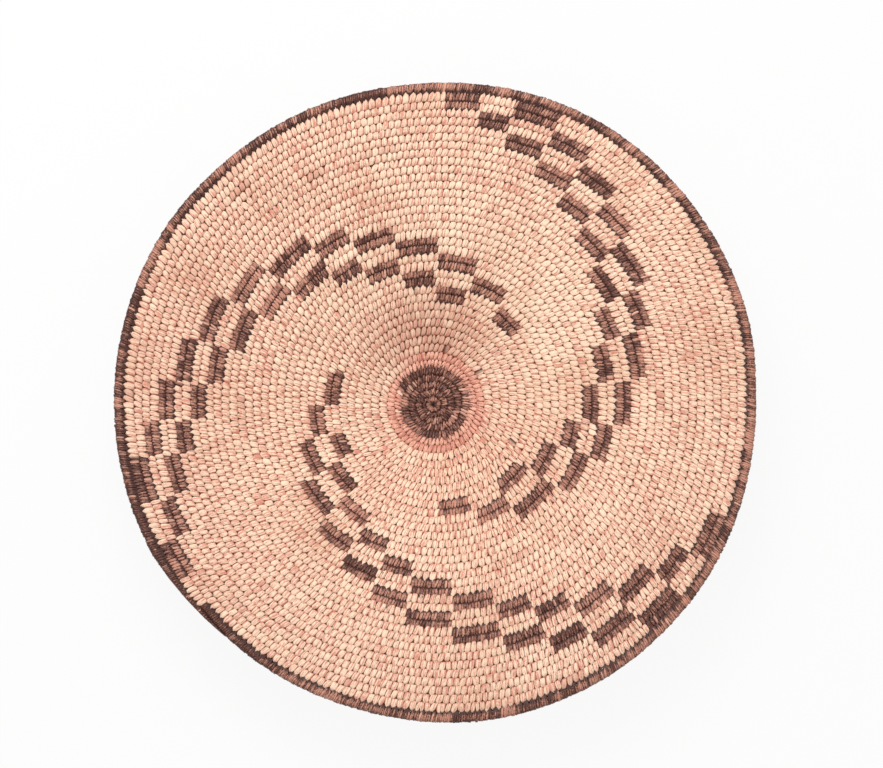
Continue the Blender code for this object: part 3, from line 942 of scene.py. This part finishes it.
class TRAY_OT_foundation(bpy.types.Operator):
    """Wind the rods that the stitches go over"""
    bl_idname = "tray.foundation"
    bl_label = "Foundation coil"

    def execute(self, context):
        work = sewing()
        coil = work.coil
        section = bpy.data.curves.new("foundation_section", "CURVE")
        edge = section.splines.new("POLY")
        edge.points.add(CORE_SIDES - 1)
        edge.use_cyclic_u = True
        for index, point in enumerate(edge.points):
            turned = math.tau * index / CORE_SIDES
            point.co = (work.stitch.core_width / 2 * math.cos(turned),
                        work.stitch.core_depth / 2 * math.sin(turned), 0, 1)
        outline = put("foundation_section", section)
        curve = bpy.data.curves.new("foundation_coil", "CURVE")
        curve.dimensions = "3D"
        curve.twist_mode = "Z_UP"
        curve.bevel_mode = "OBJECT"
        curve.bevel_object = outline
        curve.use_fill_caps = True
        for start, end in ((COIL_START - 1, RIM_START), (RODS_END, RIM_END)):
            turns = np.linspace(start, end, int((end - start) * CORE_STATIONS) + 3)
            radii = np.where(turns < COIL_START, np.interp(
                turns, (COIL_START - 1, COIL_START),
                (coil.sizes.knot_radius / 2, coil.middle(COIL_START))),
                coil.middle(turns))
            points = coil.place(turns * math.tau, radii, 0 * turns)
            spline = curve.splines.new("POLY")
            spline.points.add(len(turns) - 1)
            thick = np.where(turns < COIL_START, KNOT_SHARE,
                             np.minimum(1, coil.width(turns) / coil.sizes.band_pitch))
            for point, place, share in zip(spline.points, points, thick):
                point.co = (*place, 1)
                point.radius = share
        drawn = put("foundation_curve", curve)
        mesh = bpy.data.meshes.new_from_object(
            drawn.evaluated_get(context.evaluated_depsgraph_get()))
        bpy.data.objects.remove(drawn)
        bpy.data.objects.remove(outline)
        mesh.name = "foundation_coil"
        mesh.materials.clear()
        mesh.materials.append(rod_material("stained_core", tuple(colours().foundation)))
        mesh.shade_smooth()
        dress(put("foundation_coil", mesh), "foundation_rod")
        return {"FINISHED"}


class TRAY_OT_knot(bpy.types.Operator):
    """Sew the knot that starts the coil"""
    bl_idname = "tray.knot"
    bl_label = "Start knot"

    def execute(self, context):
        work = sewing()
        radius = work.coil.sizes.knot_radius
        count = round(math.tau * radius / (work.stitch.centre_width / 2))
        turns = np.arange(count) / count
        level, none = np.ones(count), np.zeros(count)
        draw = np.random.default_rng(work.stitch.seed)
        marks = {"tone": draw.uniform(*KNOT_TONES, count), "blush": none, "odd": none}
        half = level * math.pi * radius * KNOT_MIDDLE_SHARE / count
        rows = {"turn": turns, "middle": level * radius * KNOT_MIDDLE_SHARE,
                "round": level * radius * KNOT_ROUND_SHARE,
                "half": level * work.coil.sizes.coil_thickness / 2, "left": half,
                "right": half, "stray": none, "reach": none, "lean": none,
                "lap": none, "shade_strength": level, "slip": level * SLIP,
                "sway": level * SWAY}
        piece = sew("sewn_start_knot", rows, RIM_STITCH_SHARES, 1, marks, work.coil,
                    work.stitch, splint_material("dark"))
        dress(piece, "dark_splint", "start_knot")
        return {"FINISHED"}


class TRAY_OT_dark_centre(bpy.types.Operator):
    """Sew the dark rounds at the centre"""
    bl_idname = "tray.dark_centre"
    bl_label = "Dark centre"

    def execute(self, context):
        sew_node("dark_centre")
        return {"FINISHED"}


class TRAY_OT_salmon_rounds(bpy.types.Operator):
    """Sew the two salmon rounds"""
    bl_idname = "tray.salmon_rounds"
    bl_label = "Salmon rounds"

    def execute(self, context):
        sew_node("salmon_rounds")
        return {"FINISHED"}


class TRAY_OT_plain_rounds(bpy.types.Operator):
    """Sew the plain rounds inside the arms"""
    bl_idname = "tray.plain_rounds"
    bl_label = "Plain rounds"

    def execute(self, context):
        sew_node("plain_rounds")
        return {"FINISHED"}


class TRAY_OT_fields(bpy.types.Operator):
    """Sew the light fields between the arms"""
    bl_idname = "tray.fields"
    bl_label = "Light fields"

    def execute(self, context):
        for node in LIGHT_NODES:
            sew_node(node)
        return {"FINISHED"}


class TRAY_OT_arms(bpy.types.Operator):
    """Sew the dark and light blocks of the three arms"""
    bl_idname = "tray.arms"
    bl_label = "Arms"

    def execute(self, context):
        for node in ARM_NODES + STEP_NODES:
            sew_node(node)
        return {"FINISHED"}


class TRAY_OT_rim(bpy.types.Operator):
    """Bind the rim with its fine dark stitches"""
    bl_idname = "tray.rim"
    bl_label = "Rim binding"

    def execute(self, context):
        sew_node("rim_binding", RIM_STITCH_SHARES, roundness=1)
        return {"FINISHED"}


class TRAY_OT_rods(bpy.types.Operator):
    """Give the rim's rods their wood"""
    bl_idname = "tray.rods"
    bl_label = "Rim rods"

    def execute(self, context):
        wood = rod_material("peeled_rod", tuple(colours().rod))
        for name in ROD_NODES:
            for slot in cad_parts[name].material_slots:
                slot.material = wood
        return {"FINISHED"}


def lay_floor():
    """A pale floor that looks plain white in the picture."""
    shape = bmesh.new()
    bmesh.ops.create_grid(shape, x_segments=1, y_segments=1, size=6)
    bmesh.ops.translate(shape, vec=(0, 0, -FLOOR_DROP), verts=shape.verts)
    mesh = bpy.data.meshes.new("floor")
    shape.to_mesh(mesh)
    shape.free()
    material = bpy.data.materials.new("pale_floor")
    material.use_nodes = True
    tree = material.node_tree
    tree.nodes.clear()
    seen = add_seen(tree, "Is Camera Ray", "Is Glossy Ray", "Is Transmission Ray")
    diffuse = tree.nodes.new("ShaderNodeBsdfDiffuse")
    diffuse.inputs["Color"].default_value = (0.8, 0.79, 0.78, 1)
    glow = tree.nodes.new("ShaderNodeEmission")
    put_out(tree, add_math(tree, "MULTIPLY", seen, FLOOR_GLOW), diffuse, glow,
            "ShaderNodeOutputMaterial")
    mesh.materials.append(material)
    floor = put("floor", mesh)


def light_up(scene):
    """Soft light all round, seen as plain white, and one soft box."""
    world = bpy.data.worlds.new("studio")
    world.use_nodes = True
    tree = world.node_tree
    tree.nodes.clear()
    seen = add_seen(tree, "Is Camera Ray", "Is Glossy Ray")
    whites = []
    for strength in (FILL, 1):
        white = tree.nodes.new("ShaderNodeBackground")
        white.inputs["Color"].default_value = (1, 1, 1, 1)
        white.inputs["Strength"].default_value = strength
        whites.append(white)
    put_out(tree, seen, *whites, "ShaderNodeOutputWorld")
    scene.world = world

    lamp = bpy.data.lights.new("soft_box", "AREA")
    lamp.shape = "SQUARE"
    lamp.size = 0.7
    lamp.energy = 7.6
    key = put("soft_box", lamp)
    key.location = (-0.25, 0.65, 0.9)
    key.rotation_euler = (-key.location).to_track_quat("-Z", "Y").to_euler()


def place_camera(scene):
    """A camera that frames the tray as the photograph does."""
    scale = (CAD_BOX[1][0] - CAD_BOX[0][0]) / OUTLINE_WIDTH
    rim_height = CAD_BOX[1][2]
    aim = Vector(((PHOTO_WIDTH / 2 - OUTLINE_MIDDLE[0]) * scale,
                  (OUTLINE_MIDDLE[1] - PHOTO_HEIGHT / 2) * scale, rim_height))
    lean = math.sin(CAMERA_TILT)
    towards = Vector((CAMERA_SIDE[0] * lean, CAMERA_SIDE[1] * lean,
                      math.cos(CAMERA_TILT))).normalized()
    right = Vector((0, 1, 0)).cross(towards).normalized()
    up = towards.cross(right)
    lens = bpy.data.cameras.new("camera")
    lens.lens = lens.sensor_width * CAMERA_DISTANCE / (PHOTO_WIDTH * scale)
    lens.clip_start = 0.01
    camera = put("camera", lens)
    camera.location = aim + towards * CAMERA_DISTANCE
    camera.rotation_euler = Matrix((right, up, towards)).transposed().to_euler()
    scene.camera = camera
    scene.view_settings.view_transform = "Standard"


class TRAY_OT_stage(bpy.types.Operator):
    """Set the floor, the light and the camera"""
    bl_idname = "tray.stage"
    bl_label = "Stage"

    def execute(self, context):
        lay_floor()
        light_up(context.scene)
        place_camera(context.scene)
        return {"FINISHED"}


OPERATORS = (TRAY_OT_stage, TRAY_OT_foundation, TRAY_OT_knot, TRAY_OT_dark_centre,
             TRAY_OT_salmon_rounds, TRAY_OT_plain_rounds, TRAY_OT_fields,
             TRAY_OT_arms, TRAY_OT_rim, TRAY_OT_rods)


class TRAY_PT_panel(bpy.types.Panel):
    """Lists the tray's sizes, colours and steps."""
    bl_label = "Coiled tray"
    bl_idname = "TRAY_PT_panel"
    bl_space_type = "VIEW_3D"
    bl_region_type = "UI"
    bl_category = "Tray"

    def draw(self, context):
        scene = context.scene
        for group in (scene.tray_sizes, scene.tray_stitches, scene.tray_colours):
            box = self.layout.box()
            for name in group.bl_rna.properties.keys():
                if name not in {"rna_type", "name"}:
                    box.prop(group, name)
        for operator in OPERATORS:
            self.layout.operator(operator.bl_idname)


GROUPS = (TraySizes, StitchSizes, SplintColours)


def register():
    """Add the steps, the panel and the values that it holds."""
    for item in GROUPS + OPERATORS + (TRAY_PT_panel,):
        bpy.utils.register_class(item)
    bpy.types.Scene.tray_sizes = PointerProperty(type=TraySizes)
    bpy.types.Scene.tray_stitches = PointerProperty(type=StitchSizes)
    bpy.types.Scene.tray_colours = PointerProperty(type=SplintColours)


def unregister():
    """Take them away again."""
    del bpy.types.Scene.tray_colours
    del bpy.types.Scene.tray_stitches
    del bpy.types.Scene.tray_sizes
    for item in reversed(GROUPS + OPERATORS + (TRAY_PT_panel,)):
        bpy.utils.unregister_class(item)


def main():
    """Build the tray step by step."""
    register()
    for operator in OPERATORS:
        getattr(bpy.ops.tray, operator.bl_idname.split(".")[1])()


if __name__ == "__main__":
    main()
